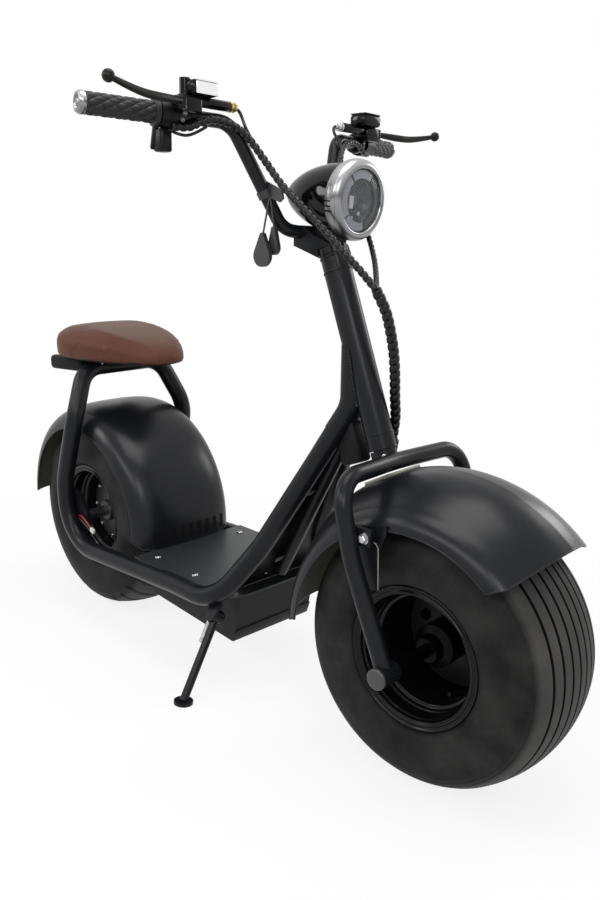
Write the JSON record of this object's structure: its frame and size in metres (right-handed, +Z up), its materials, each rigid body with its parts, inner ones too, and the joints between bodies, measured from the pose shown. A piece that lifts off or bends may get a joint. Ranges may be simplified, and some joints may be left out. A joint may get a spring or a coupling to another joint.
{
  "type": "electric scooter",
  "caption": "Electric cruiser scooter with fat tyres, a step-through tube frame, long saddle, teardrop headlight, battery under the deck and a side stand.",
  "frame": {"origin": "on the floor under the middle of the parked scooter's outline", "axes": "+X forward, +Y to the scooter's left, +Z up; it leans on its side stand towards -Y"},
  "size_m": [1.4393, 0.7948, 1.0986],
  "materials": {
    "frame_paint": "satin black",
    "fender_paint": "satin black, olive grey underneath",
    "rim_paint": "satin black",
    "tyre": "matt, dusty",
    "chrome": "mirror",
    "steel": "bright zinc",
    "motor": "dark cast",
    "leatherette": "soft grain",
    "pan_plastic": "matt",
    "deck": "satin black",
    "case": "satin black",
    "battery": "wrapped pack",
    "grip_rubber": "quilted",
    "switch_plastic": "fine grain",
    "lever_paint": "matt black",
    "shell_gloss": "gloss black",
    "lens": "clear",
    "reflector": "metallised",
    "cable_wrap": "spiral wrap",
    "strap": "dark"
  },
  "bodies": {
    "frame": {"right_frame_tube": "frame_paint", "left_frame_tube": "frame_paint", "head_tube": "frame_paint", "neck_gusset": "frame_paint", "deck_plate": "deck", "battery_case": "case", "battery": "battery", "front_panel": "case", "rear_fender": "fender_paint", "rear_dropouts": "frame_paint", "rear_axle": "steel", "seat_bracket": "frame_paint", "seat_pan": "pan_plastic", "seat_cushion": "leatherette", "stand_bracket": "frame_paint"},
    "steering": {"steering_stem": "frame_paint", "fork": "frame_paint", "front_axle": "chrome", "front_fender": "fender_paint", "fender_brackets": "steel", "handlebar": "frame_paint", "handlebar_clamp": "frame_paint", "right_grip": "grip_rubber", "left_grip": "grip_rubber", "bar_ends": "chrome", "right_switches": "switch_plastic", "left_switches": "switch_plastic", "throttle_box": "switch_plastic", "right_perch": "shell_gloss", "left_perch": "shell_gloss", "right_lever": "lever_paint", "left_lever": "lever_paint", "key_fobs": "strap", "headlight_shell": "shell_gloss", "headlight_bezel": "chrome", "headlight_lens": "lens", "headlight_reflector": "reflector", "headlight_bracket": "frame_paint", "main_cable": "cable_wrap", "side_cable": "cable_wrap", "cable_clip": "switch_plastic"},
    "front_wheel": {"front_tyre": "tyre", "front_rim": "rim_paint", "front_hub": "rim_paint"},
    "rear_wheel": {"rear_tyre": "tyre", "rear_rim": "rim_paint", "hub_motor": "motor"},
    "side_stand": {"stand_leg": "frame_paint"}
  },
  "joints": [
    {"name": "steering_turn", "type": "hinge", "parent": "frame", "child": "steering", "pos_m": [0.31517, 0.04732, 0.59802], "axis": [-0.3535, -0.0978, 0.9303], "range_deg": [-40.2, 29.8]},
    {"name": "front_wheel_spin", "type": "hinge", "parent": "steering", "child": "front_wheel", "pos_m": [0.49104, 0.08915, 0.22892], "axis": [-0.0848, 0.9938, 0.0722], "continuous": true},
    {"name": "rear_wheel_spin", "type": "hinge", "parent": "frame", "child": "rear_wheel", "pos_m": [-0.46283, 0.08614, 0.22865], "axis": [0, 0.9945, 0.1045], "continuous": true},
    {"name": "stand_fold", "type": "hinge", "parent": "frame", "child": "side_stand", "pos_m": [0.05217, -0.03896, 0.14652], "axis": [0.1388, 0.8718, -0.4698], "range_deg": [0, 72.9]}
  ]
}
